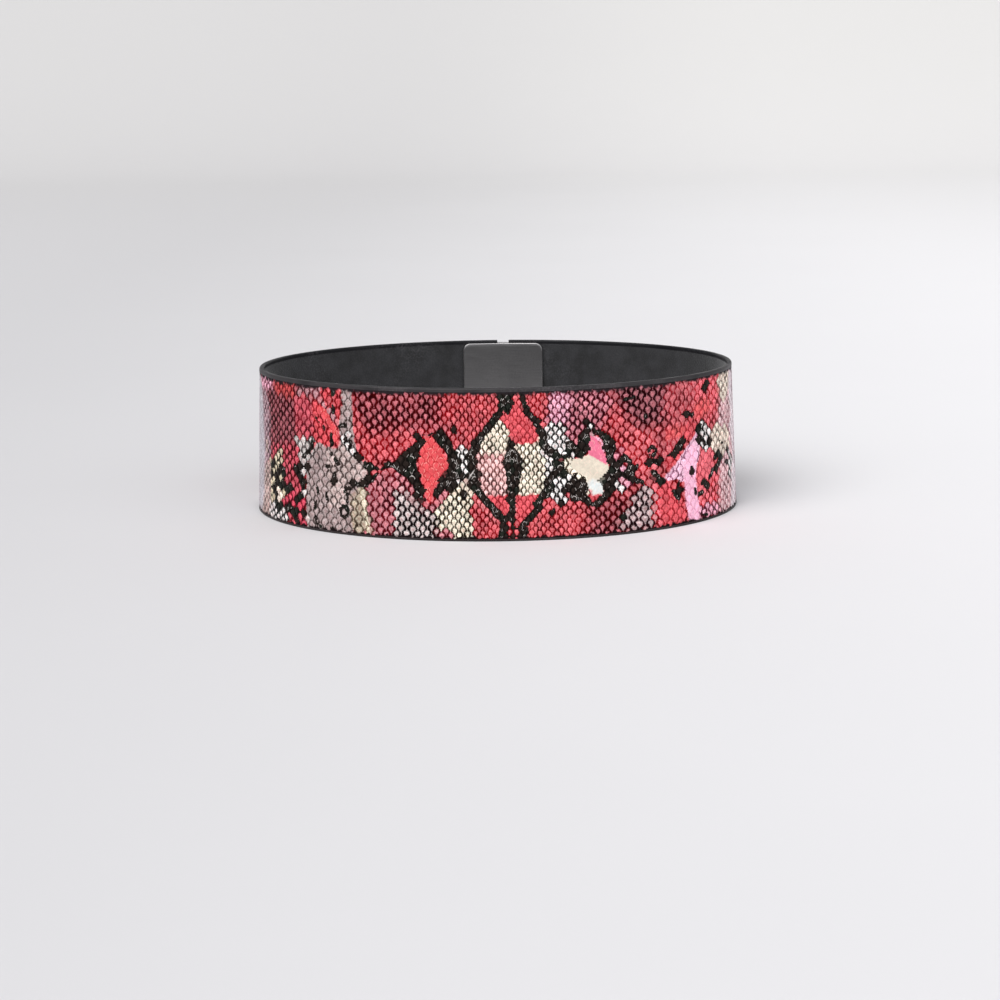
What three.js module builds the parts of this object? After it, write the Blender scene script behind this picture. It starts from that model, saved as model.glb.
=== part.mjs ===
// A wide waist belt of snake print faux leather, fastened in a loop and standing on its lower edge.
// Millimetres, +Z up. The middle of the wearer's back is at -Y, the clasp at the front is at +Y.
import * as THREE from "three";

// The loop, outside the print and at half the belt's height.
const loopWidth = 250;
const loopDepth = 180;
const beltHeight = 75;
const flare = 1.6; // the lower edge stands this much further out than half height, the top edge as much less

// The band's layers, outermost first.
const printThickness = 1.0;
const backingThickness = 1.1;
const layerGap = 0.3; // between any two pieces that lie on each other

// The painted edges, which wrap the cut ends of both layers.
const topEdgeHeight = 1.8;
const topEdgeRound = 0.8;
const bottomEdgeHeight = 1.0;
const bottomEdgeChamfer = 0.3;
const edgeProud = 0.1; // how far an edge stands out from the faces beside it

// The clasp: two plates riveted to a web between them, with a band end slotted in from each side.
const claspWidth = 46;
const claspPlate = 1.2;
const claspWeb = 6;
const claspInset = 1.5; // from the belt's own top and bottom

const bandSteps = 120;
const claspSteps = 8;

const bandThickness = printThickness + layerGap + backingThickness;

const loop = new THREE.EllipseCurve(
  0,
  0,
  loopWidth / 2,
  loopDepth / 2,
  -1.5 * Math.PI,
  0.5 * Math.PI,
);
loop.arcLengthDivisions = 4000;
const girth = loop.getLength();
const bandLength = girth - claspWeb - 2 * layerGap;

// Bends a flat piece round the waist. Flat, x is how far a point stands out from the print's face,
// y runs along the band from the middle of the back, and z is up.
function wrapRound(geometry) {
  const position = geometry.getAttribute("position");
  for (let i = 0; i < position.count; i++) {
    const along = position.getY(i) / girth + 0.5;
    const foot = loop.getPointAt(along - Math.floor(along));
    const outward = new THREE.Vector2(foot.x / loopWidth ** 2, foot.y / loopDepth ** 2);
    const lean = flare * (1 - (2 * position.getZ(i)) / beltHeight);
    foot.addScaledVector(outward.normalize(), position.getX(i) + lean);
    position.setXY(i, foot.x, foot.y);
  }
  geometry.computeVertexNormals();
  return geometry;
}

// A strip as long as the band. Its section is drawn with x outwards and y up.
function bandStrip(section) {
  const strip = new THREE.ExtrudeGeometry(section, {
    depth: bandLength,
    steps: bandSteps,
    bevelEnabled: false,
    curveSegments: 2,
  });
  strip.rotateX(Math.PI / 2);
  strip.translate(0, bandLength / 2, 0);
  return wrapRound(strip);
}

function layerSection(outerFace, thickness) {
  const low = bottomEdgeHeight + layerGap;
  const high = beltHeight - topEdgeHeight - layerGap;
  return new THREE.Shape()
    .moveTo(outerFace - thickness, low)
    .lineTo(outerFace, low)
    .lineTo(outerFace, high)
    .lineTo(outerFace - thickness, high);
}

function topEdgeSection() {
  const inner = -bandThickness - edgeProud;
  const shape = new THREE.Shape();
  shape.moveTo(inner, beltHeight - topEdgeHeight);
  shape.lineTo(edgeProud, beltHeight - topEdgeHeight);
  shape.absarc(edgeProud - topEdgeRound, beltHeight - topEdgeRound, topEdgeRound, 0, Math.PI / 2);
  shape.absarc(inner + topEdgeRound, beltHeight - topEdgeRound, topEdgeRound, Math.PI / 2, Math.PI);
  return shape;
}

function bottomEdgeSection() {
  const inner = -bandThickness - edgeProud;
  return new THREE.Shape()
    .moveTo(inner + bottomEdgeChamfer, 0)
    .lineTo(edgeProud - bottomEdgeChamfer, 0)
    .lineTo(edgeProud, bottomEdgeChamfer)
    .lineTo(edgeProud, bottomEdgeHeight)
    .lineTo(inner, bottomEdgeHeight)
    .lineTo(inner, bottomEdgeChamfer);
}

// One part of the clasp, between two distances out from the print's face, over the band's two ends.
function claspPart(outerFace, innerFace, width, steps) {
  const height = beltHeight - 2 * claspInset;
  const part = new THREE.BoxGeometry(outerFace - innerFace, width, height, 1, steps, 1);
  part.translate((outerFace + innerFace) / 2, girth / 2, beltHeight / 2);
  return wrapRound(part);
}

function piece(name, geometry, look) {
  const mesh = new THREE.Mesh(geometry, new THREE.MeshStandardMaterial(look));
  mesh.name = name;
  return mesh;
}

const slotOuter = edgeProud + layerGap;
const slotInner = -bandThickness - edgeProud - layerGap;
const nickel = { color: 0x8c8c90, roughness: 0.35, metalness: 1 };

const belt = new THREE.Group();
belt.add(
  piece("print_strip", bandStrip(layerSection(0, printThickness)), {
    color: 0xc8485a,
    roughness: 0.35,
    metalness: 0,
  }),
  piece("backing_strip", bandStrip(layerSection(-printThickness - layerGap, backingThickness)), {
    color: 0x161617,
    roughness: 0.7,
    metalness: 0,
  }),
  piece("top_edge", bandStrip(topEdgeSection()), {
    color: 0x2e2e30,
    roughness: 0.5,
    metalness: 0,
  }),
  piece("bottom_edge", bandStrip(bottomEdgeSection()), {
    color: 0x1c1c1e,
    roughness: 0.5,
    metalness: 0,
  }),
  piece("clasp_front_plate", claspPart(slotOuter + claspPlate, slotOuter, claspWidth, claspSteps), nickel),
  piece("clasp_back_plate", claspPart(slotInner, slotInner - claspPlate, claspWidth, claspSteps), nickel),
  piece("clasp_web", claspPart(edgeProud, -bandThickness - edgeProud, claspWeb, 1), nickel),
);

export default belt;
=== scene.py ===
import math

import bpy
import numpy as np
from mathutils import Euler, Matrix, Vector


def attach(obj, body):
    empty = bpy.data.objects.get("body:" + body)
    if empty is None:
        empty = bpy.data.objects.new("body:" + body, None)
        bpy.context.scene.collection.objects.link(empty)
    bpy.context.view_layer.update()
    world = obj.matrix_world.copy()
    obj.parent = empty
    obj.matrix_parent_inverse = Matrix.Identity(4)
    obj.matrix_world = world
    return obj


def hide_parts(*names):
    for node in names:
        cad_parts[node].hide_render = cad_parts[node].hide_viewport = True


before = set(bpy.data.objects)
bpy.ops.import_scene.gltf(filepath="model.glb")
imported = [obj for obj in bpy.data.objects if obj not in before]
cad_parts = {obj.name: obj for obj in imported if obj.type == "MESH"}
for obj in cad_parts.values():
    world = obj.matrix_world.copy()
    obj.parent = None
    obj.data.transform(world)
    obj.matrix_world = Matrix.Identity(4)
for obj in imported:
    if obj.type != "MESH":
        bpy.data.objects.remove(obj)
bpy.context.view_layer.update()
scene = bpy.context.scene
scene.view_settings.view_transform = "Standard"
print("belt: frame loaded")

# camera
camera = {
    "turn": 3.128,        # degrees the belt's back is turned towards the left
    "elevation": 12.152,
    "roll": 0.956,
    "distance": 1.06423,
    "aim": (0.00158, 0.0, 0.00096),
    "lens": 72.0,
}


def placeCamera(settings):
    data = bpy.data.cameras.new("photoView")
    data.lens = settings["lens"]
    data.sensor_width = 36.0
    data.clip_start = 0.01
    viewer = bpy.data.objects.new("photoView", data)
    scene.collection.objects.link(viewer)
    turned = Euler((0, 0, math.radians(settings["turn"]))).to_matrix()
    tilt = math.radians(settings["elevation"])
    away = Vector((0, math.cos(tilt), -math.sin(tilt)))
    viewer.location = turned @ (Vector(settings["aim"]) - away * settings["distance"])
    facing = Euler((math.radians(90) - tilt, 0, math.radians(settings["turn"]))).to_matrix()
    rolled = Euler((0, 0, math.radians(-settings["roll"]))).to_matrix()
    viewer.rotation_euler = (facing @ rolled).to_euler()
    scene.camera = viewer


placeCamera(camera)

# the belt's form, in millimetres
belt = {
    "loopWidth": 250.0,
    "loopDepth": 180.0,
    "height": 75.0,
    "flare": 1.6,
    "printThickness": 1.0,
    "backingThickness": 1.1,
    "layerGap": 0.3,
    "topEdge": 1.8,
    "bottomEdge": 1.0,
    "edgeProud": 0.1,
    "claspWeb": 6.0,
}


def measureLoop():
    # length along the ellipse from +Y, anticlockwise, summed over short chords
    angle = np.linspace(-1.5 * np.pi, 0.5 * np.pi, 40001)
    x = belt["loopWidth"] / 2 * np.cos(angle)
    y = belt["loopDepth"] / 2 * np.sin(angle)
    reach = np.concatenate([[0.0], np.cumsum(np.hypot(np.diff(x), np.diff(y)))])
    return reach, x, y


loopReach, loopX, loopY = measureLoop()
girth = loopReach[-1]
bandLength = girth - belt["claspWeb"] - 2 * belt["layerGap"]
bandThickness = belt["printThickness"] + belt["layerGap"] + belt["backingThickness"]
layersLow = belt["bottomEdge"] + belt["layerGap"] / 2    # mm up, where the edges' paint ends
layersHigh = belt["height"] - belt["topEdge"] - belt["layerGap"] / 2


def wrapRound(out, along, up):
    # A flat point goes to the foot at its distance along the ellipse, plus the outward normal times
    # its distance out and the flare, which runs evenly from the lower edge to the top. Metres come back.
    foot = np.mod(along / girth + 0.5, 1.0) * girth
    x = np.interp(foot, loopReach, loopX)
    y = np.interp(foot, loopReach, loopY)
    nx = x / belt["loopWidth"] ** 2
    ny = y / belt["loopDepth"] ** 2
    length = np.hypot(nx, ny)
    stand = out + belt["flare"] * (1 - 2 * up / belt["height"])
    return np.stack([x + nx / length * stand, y + ny / length * stand, up + 0 * x], axis=-1) / 1000


def smoothStep(low, high, value):
    # 3 t squared less 2 t cubed, with t from 0 at low to 1 at high
    t = np.clip((value - low) / (high - low), 0.0, 1.0)
    return t * t * (3 - 2 * t)


def addPiece(name, points, faces, smoothAngle=math.radians(40)):
    # a mesh object at the origin, smooth but for edges sharper than the angle
    mesh = bpy.data.meshes.new(name)
    mesh.from_pydata(points, [], faces)
    mesh.update()
    piece = bpy.data.objects.new(name, mesh)
    scene.collection.objects.link(piece)
    mesh.shade_smooth()
    mesh.set_sharp_from_angle(angle=smoothAngle)
    return piece


def carriedRing(out, along, up):
    # A closed profile of m points, carried through n stations: arrays of n by m. Two caps close the ends.
    stations, around = out.shape
    points = wrapRound(out, along, up).reshape(-1, 3)
    i, j = np.meshgrid(np.arange(stations - 1), np.arange(around), indexing="ij")
    k = (j + 1) % around
    here, beyond = i * around, (i + 1) * around
    faces = np.stack([here + j, beyond + j, beyond + k, here + k], axis=-1).reshape(-1, 4).tolist()
    faces.append(np.arange(around).tolist())
    faces.append((np.arange(around)[::-1] + (stations - 1) * around).tolist())
    return points, faces


# node helpers
def linear(rgb):
    # a colour given as 0 to 255 on screen becomes linear light
    c = np.array(rgb[:3], float) / 255
    return tuple(np.where(c <= 0.04045, c / 12.92, ((c + 0.055) / 1.055) ** 2.4)) + (1.0,)


class Wiring:
    def __init__(self, tree):
        self.tree = tree

    def put(self, value, socket):
        if isinstance(value, bpy.types.NodeSocket):
            self.tree.links.new(value, socket)
        else:
            socket.default_value = value

    def node(self, kind, inputs=None, **settings):
        made = self.tree.nodes.new(kind)
        for key, value in settings.items():
            setattr(made, key, value)
        for key, value in (inputs or {}).items():
            self.put(value, made.inputs[key])
        return made

    def group(self, tree, inputs, label=""):
        return self.node("ShaderNodeGroup", inputs, node_tree=tree, label=label).outputs

    def math(self, operation, *values):
        return self.node("ShaderNodeMath", dict(enumerate(values)), operation=operation).outputs[0]

    def add(self, a, b):
        return self.math("ADD", a, b)

    def minus(self, a, b):
        return self.math("SUBTRACT", a, b)

    def times(self, a, b):
        return self.math("MULTIPLY", a, b)

    def mix(self, factor, a, b, blend="MIX"):
        inputs = {0: factor, 6: a, 7: b}
        return self.node("ShaderNodeMix", inputs, data_type="RGBA", blend_type=blend).outputs[2]

    def step(self, value, low, high, outLow=0.0, outHigh=1.0):
        inputs = {"Value": value, "From Min": low, "From Max": high, "To Min": outLow, "To Max": outHigh}
        return self.node("ShaderNodeMapRange", inputs, interpolation_type="SMOOTHSTEP").outputs[0]

    def noise(self, vector, scale, detail=2.0, rough=0.5):
        inputs = {"Vector": vector, "Scale": scale, "Detail": detail, "Roughness": rough}
        return self.node("ShaderNodeTexNoise", inputs).outputs[0]

    def attribute(self, name):
        return self.node("ShaderNodeAttribute", attribute_name=name).outputs["Fac"]

    def grey(self, level):
        return self.node("ShaderNodeCombineColor", {0: level, 1: level, 2: level}).outputs[0]

    def bump(self, height, strength, distance):
        inputs = {"Height": height, "Strength": strength, "Distance": distance}
        return self.node("ShaderNodeBump", inputs).outputs[0]


def newGroup(name, inputs, outputs):
    group = bpy.data.node_groups.new(name, "ShaderNodeTree")
    for label, kind, default in inputs:
        socket = group.interface.new_socket(name=label, in_out="INPUT", socket_type=kind)
        if default is not None:
            socket.default_value = default
    for label, kind in outputs:
        group.interface.new_socket(name=label, in_out="OUTPUT", socket_type=kind)
    wire = Wiring(group)
    start = group.nodes.new("NodeGroupInput")
    end = group.nodes.new("NodeGroupOutput")
    return group, wire, start.outputs, end.inputs


def newMaterial(name, fixed):
    # fixed values sit on the shader itself. Its sockets and the place in object coordinates come back too
    material = bpy.data.materials.new(name)
    material.use_nodes = True
    wire = Wiring(material.node_tree)
    shader = material.node_tree.nodes["Principled BSDF"]
    for key, value in fixed.items():
        shader.inputs[key].default_value = value
    place = wire.node("ShaderNodeTexCoord").outputs["Object"]
    return material, wire, shader.inputs, place


# shared shader groups
scaleShape = {
    # in half columns
    "halfWidth": 0.54,
    "topReach": 0.64,
    "middle": 0.05,      # the widest line, above the scale's own middle
    "footTaper": 0.66,
    "footPower": 1.3,
    "string": 0.10,      # half the width of the thin string below a scale
}


def makeScaleGroup(shape):
    # Scales stand in staggered columns. Across and Row are turned into two slanted counts whose whole
    # numbers are the scales' centres. A scale is half an ellipse above its middle and draws in to a foot
    # below it, and a thin string runs on to the next scale. Inside is above 0 on the scale, in half
    # columns, and Border is 0 on the line between two scales.
    group, wire, given, result = newGroup(
        "snakeScales",
        [("Grid", "NodeSocketVector", None), ("Curl", "NodeSocketFloat", 0.1)],
        [("Inside", "NodeSocketFloat"), ("Border", "NodeSocketFloat"), ("Scale", "NodeSocketVector")])
    split = wire.node("ShaderNodeSeparateXYZ", {0: given["Grid"]}).outputs
    wave = wire.math("COSINE", wire.times(split[0], 2 * math.pi))
    sink = wire.times(wire.minus(1.0, wave), wire.times(given["Curl"], 0.5))
    row = wire.minus(split[1], sink)
    half = wire.times(split[0], 0.5)
    a = wire.add(half, row)
    b = wire.minus(half, row)
    wholeA = wire.math("ROUND", a)
    wholeB = wire.math("ROUND", b)
    da = wire.minus(a, wholeA)
    db = wire.minus(b, wholeB)
    side = wire.math("ABSOLUTE", wire.add(da, db))
    rise = wire.minus(da, db)
    border = wire.minus(1.0, wire.add(side, wire.math("ABSOLUTE", rise)))
    above = wire.math("MAXIMUM", wire.minus(rise, shape["middle"]), 0.0)
    above = wire.times(above, shape["halfWidth"] / shape["topReach"])
    reach = wire.math("SQRT", wire.add(wire.times(side, side), wire.times(above, above)))
    below = wire.math("MAXIMUM", wire.minus(shape["middle"], rise), 0.0)
    taper = wire.times(wire.math("POWER", below, shape["footPower"]), shape["footTaper"])
    drop = wire.minus(wire.minus(shape["halfWidth"], reach), taper)
    inside = wire.math("MAXIMUM", drop, wire.minus(shape["string"], side))
    wire.put(inside, result["Inside"])
    wire.put(border, result["Border"])
    wire.put(wire.node("ShaderNodeCombineXYZ", {0: wholeA, 1: wholeB}).outputs[0], result["Scale"])
    return group


grainShape = {
    # noises and cells to a metre
    "cells": 900.0,
    "fine": 2600.0,
    "tone": 160.0,
    "pitWidth": 0.25,
    "pitShare": 0.7,
}
wearShape = {
    "patches": 28.0,
    "patchRange": (0.42, 0.7),
    "specks": 950.0,
    "speckRange": (0.4, 0.75),
}


def makeInkGroup():
    # An ink covers what is under it where its Field, in mm, is above 0, with a ragged edge from Ragged.
    group, wire, given, result = newGroup(
        "printInk",
        [("Field", "NodeSocketFloat", 0.0), ("Ragged", "NodeSocketFloat", 0.0),
         ("Soft", "NodeSocketFloat", 0.6),
         ("Scale Under", "NodeSocketColor", None), ("Gap Under", "NodeSocketColor", None),
         ("Grow Under", "NodeSocketFloat", 0.0),
         ("Scale Ink", "NodeSocketColor", None), ("Gap Ink", "NodeSocketColor", None),
         ("Grow", "NodeSocketFloat", 0.0)],
        [("Scale", "NodeSocketColor"), ("Gap", "NodeSocketColor"), ("Grow", "NodeSocketFloat")])
    level = wire.add(given["Field"], given["Ragged"])
    half = wire.times(given["Soft"], 0.5)
    cover = wire.step(level, wire.times(half, -1.0), half)
    wire.put(wire.mix(cover, given["Scale Under"], given["Scale Ink"]), result["Scale"])
    wire.put(wire.mix(cover, given["Gap Under"], given["Gap Ink"]), result["Gap"])
    grow = wire.node("ShaderNodeMix", {0: cover, 2: given["Grow Under"], 3: given["Grow"]},
                     data_type="FLOAT")
    wire.put(grow.outputs[0], result["Grow"])
    return group


def makeGrainGroup(shape):
    # fine leather grain, as a height and as a slight change of tone
    group, wire, given, result = newGroup(
        "leatherGrain",
        [("Vector", "NodeSocketVector", None), ("Size", "NodeSocketFloat", 1.0)],
        [("Height", "NodeSocketFloat"), ("Tone", "NodeSocketFloat")])
    scaled = wire.node("ShaderNodeVectorMath", {0: given["Vector"], 3: given["Size"]},
                       operation="SCALE").outputs[0]
    cells = wire.node("ShaderNodeTexVoronoi", {"Vector": scaled, "Scale": shape["cells"]},
                      feature="DISTANCE_TO_EDGE").outputs[0]
    pits = wire.step(cells, 0.0, shape["pitWidth"])
    fine = wire.noise(scaled, shape["fine"])
    height = wire.add(wire.times(pits, shape["pitShare"]), wire.times(fine, 1.0 - shape["pitShare"]))
    wire.put(height, result["Height"])
    wire.put(wire.noise(scaled, shape["tone"], 3.0), result["Tone"])
    return group


def makeWearGroup(shape):
    # dust and rubbing: a soft mask of broad patches broken up by fine specks
    group, wire, given, result = newGroup(
        "rubbed",
        [("Vector", "NodeSocketVector", None), ("Amount", "NodeSocketFloat", 0.3)],
        [("Mask", "NodeSocketFloat")])
    broad = wire.step(wire.noise(given["Vector"], shape["patches"], 3.0), *shape["patchRange"])
    specks = wire.step(wire.noise(given["Vector"], shape["specks"]), *shape["speckRange"])
    both = wire.times(broad, specks)
    wire.put(wire.times(both, given["Amount"]), result["Mask"])
    return group


scaleGroup = makeScaleGroup(scaleShape)
inkGroup = makeInkGroup()
grainGroup = makeGrainGroup(grainShape)
wearGroup = makeWearGroup(wearShape)
print("belt: shader groups made")

# print: the scales' grid
printRepeat = 340.0  # mm along the belt, so the print comes round twice
gridMiddle = 37.0    # mm up, where a row of scales is level all the way

# half the distance between columns of scales and the height of a row, in mm, by place along the belt
scaleChart = np.array([
    # along, halfColumn, row
    (-170, 2.60, 4.6),
    (-130, 2.40, 4.4),
    (-120, 2.65, 4.6),
    (-110, 2.75, 5.0),
    (-100, 2.85, 5.4),
    (-80, 2.90, 5.3),
    (-60, 3.00, 5.2),
    (-50, 2.90, 5.0),
    (-40, 2.70, 4.9),
    (-30, 2.50, 4.8),
    (-20, 2.20, 4.6),
    (-10, 2.00, 4.5),
    (0, 1.85, 4.4),
    (10, 1.80, 4.1),
    (20, 1.85, 4.1),
    (30, 2.10, 4.3),
    (40, 2.20, 4.35),
    (50, 2.40, 4.4),
    (60, 2.65, 4.75),
    (70, 2.95, 4.8),
    (80, 3.10, 5.1),
    (90, 3.10, 5.2),
    (100, 3.00, 5.5),
    (120, 2.85, 5.0),
    (130, 2.90, 4.9),
    (170, 2.65, 4.7),
])


def countColumns():
    # half columns counted along one repeat: the sum of length over half column, scaled to an even number
    fine = np.linspace(-printRepeat / 2, printRepeat / 2, 3401)
    pitch = np.interp(fine, scaleChart[:, 0], scaleChart[:, 1])
    count = np.concatenate([[0.0], np.cumsum(0.5 * (1 / pitch[1:] + 1 / pitch[:-1]) * np.diff(fine))])
    even = 2 * round(count[-1] / 2)
    count *= even / count[-1]
    return fine, count - np.interp(0.0, fine, count), even


fineAlong, fineCount, columnsPerRepeat = countColumns()


def gridFromPlace(along, up):
    # the counts waver by slow sines, so that no two scales are quite alike
    turns = np.floor(along / printRepeat + 0.5)
    inRepeat = along - turns * printRepeat
    across = np.interp(inRepeat, fineAlong, fineCount) + turns * columnsPerRepeat
    across = across + 0.12 * np.sin(up / 3.1 + 1.7 * np.sin(along / 7.3))
    across = across + 0.07 * np.sin(along / 2.3 + up / 6.1)
    row = np.interp(inRepeat, scaleChart[:, 0], scaleChart[:, 2])
    rows = (up - gridMiddle) / row + 0.06 * np.sin(along / 2.9 + 1.3 * np.sin(up / 8.1))
    return across, rows


def placeFromGrid(across, rows):
    # the other way round, without the slow sines: the place of a scale from its counts
    turns = np.floor((across - fineCount[0]) / columnsPerRepeat)
    inRepeat = np.interp(across - turns * columnsPerRepeat, fineCount, fineAlong)
    row = np.interp(inRepeat, scaleChart[:, 0], scaleChart[:, 2])
    return inRepeat, rows * row + gridMiddle


def nearestScale(across, rows, curl):
    # the same slanted counts as in the shader group, rounded to the scale that a point lies on
    sink = curl * (1 - np.cos(2 * np.pi * across)) / 2
    a = across / 2 + rows - sink
    b = across / 2 - rows + sink
    wholeA, wholeB = np.round(a), np.round(b)
    return wholeA, wholeB, a - wholeA, b - wholeB


# Inks from the bottom up. grow is how far a scale spreads into its gaps, in half columns, and soft is how
# many mm an ink takes to set in. One with no ragged edge is laid by whole scales.
inkColumns = ("scale", "gap", "grow", "soft", "ragged")
inkRows = {
    "lightRed": ((236, 122, 130), (138, 12, 18), 0.05, 3.0, None),
    "midRed": ((223, 108, 115), (124, 4, 10), 0.03, 3.0, None),
    "pinkRed": ((212, 134, 147), (66, 2, 14), -0.02, 5.0, None),
    "softRed": ((210, 112, 119), (142, 30, 40), 0.03, 7.0, None),
    "fineRed": ((246, 124, 135), (160, 16, 22), 0.02, 6.0, None),
    "dusk": ((170, 104, 112), (42, 0, 4), -0.04, 10.0, None),
    "maroon": ((164, 94, 102), (52, 0, 6), -0.04, 5.0, None),
    "deepRed": ((212, 92, 106), (76, 2, 8), -0.02, 4.0, None),
    "darkNet": ((190, 106, 115), (66, 0, 2), -0.06, 9.0, None),
    "rose": ((206, 132, 141), (86, 6, 16), -0.01, 5.0, None),
    "orangeNet": ((206, 84, 84), (96, 12, 18), 0.0, 3.0, None),
    "dustyPink": ((247, 212, 215), (150, 88, 96), 0.04, 5.0, None),
    "roseRed": ((218, 84, 104), (112, 14, 32), 0.0, 3.0, None),
    "rubyNet": ((208, 96, 108), (112, 22, 34), 0.02, 2.4, 1.2),
    "greyRose": ((190, 142, 148), (92, 38, 46), 0.0, 2.0, None),
    "oliveGrey": ((188, 173, 154), (80, 66, 54), 0.04, 1.0, None),
    "taupe": ((175, 156, 155), (80, 64, 62), 0.08, 0.7, 0.8),
    "paleTaupe": ((196, 176, 172), (86, 69, 66), 0.08, 5.0, None),
    "cream": ((251, 240, 221), (74, 60, 44), 0.02, 0.2, None),
    "ivory": ((246, 234, 213), (52, 40, 28), 0.0, 0.2, None),
    "blush": ((250, 204, 202), (108, 60, 58), 0.02, 8.0, None),
    "coralNet": ((224, 94, 102), (150, 30, 38), 0.09, 1.2, 1.2),
    "mottledRed": ((226, 92, 100), (122, 12, 20), 0.03, 1.6, 1.6),
    "coral": ((211, 77, 82), (182, 46, 52), 0.20, 0.7, 0.8),
    "orange": ((244, 118, 128), (178, 64, 74), 0.10, 2.0, 1.6),
    "emberRed": ((236, 106, 108), (160, 46, 52), 0.06, 4.0, 1.8),
    "smoke": ((192, 162, 170), (108, 76, 84), 0.0, 4.0, None),
    "lilacNet": ((250, 184, 206), (100, 34, 52), 0.0, 3.0, None),
    "lilacLines": ((248, 196, 218), (146, 92, 118), 0.09, 0.8, 0.8),
    "lilac": ((246, 184, 209), (218, 146, 175), 0.20, 1.6, 1.0),
    "grey": ((216, 208, 205), (88, 76, 76), 0.02, 0.6, None),
    "wedge": ((206, 180, 181), (36, 8, 14), -0.02, 4.0, None),
    "white": ((244, 237, 235), (22, 13, 14), -0.01, 0.2, None),
    "silver": ((213, 197, 195), (12, 2, 3), -0.03, 3.0, None),
    "olive": ((228, 212, 184), (26, 20, 14), 0.0, 0.4, None),
    "paleCream": ((252, 238, 222), (150, 126, 114), 0.04, 1.0, None),
    "paleEdge": ((238, 228, 206), (150, 134, 110), 0.08, 0.7, 1.0),
    "beige": ((213, 198, 181), (192, 176, 158), 0.60, 0.7, 0.8),
    "frost": ((213, 214, 213), (194, 195, 194), 0.60, 3.0, 1.2),
    "sand": ((206, 180, 174), (108, 86, 83), 0.06, 2.0, 1.2),
    "hotPink": ((222, 110, 138), (212, 94, 120), 0.60, 0.7, 0.5),
    # the last three are painted sheen over the print's net: the pale room's grey and white reflection
    # where the belt turns away at its ends
    "paintedSheenLeft": ((193, 184, 190), (150, 140, 147), 0.13, 5.0, 1.6),
    "paintedSheenRight": ((236, 219, 223), (182, 158, 166), 0.13, 5.0, 1.6),
    "paintedSheenEnds": ((204, 184, 192), (124, 96, 106), 0.03, 9.0, None),
}
printInks = {name: dict(zip(inkColumns, row)) for name, row in inkRows.items()}
redInk = {"scale": (219, 107, 114), "gap": (118, 0, 6), "grow": 0.0}
# glint is the colour of the light lines in the black, partly the print's pale gaps and partly painted
# highlights
blackInk = {"glint": (214, 206, 202), "tints": ((38, 31, 28), (46, 30, 42), (32, 35, 30), (32, 29, 42))}

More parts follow.
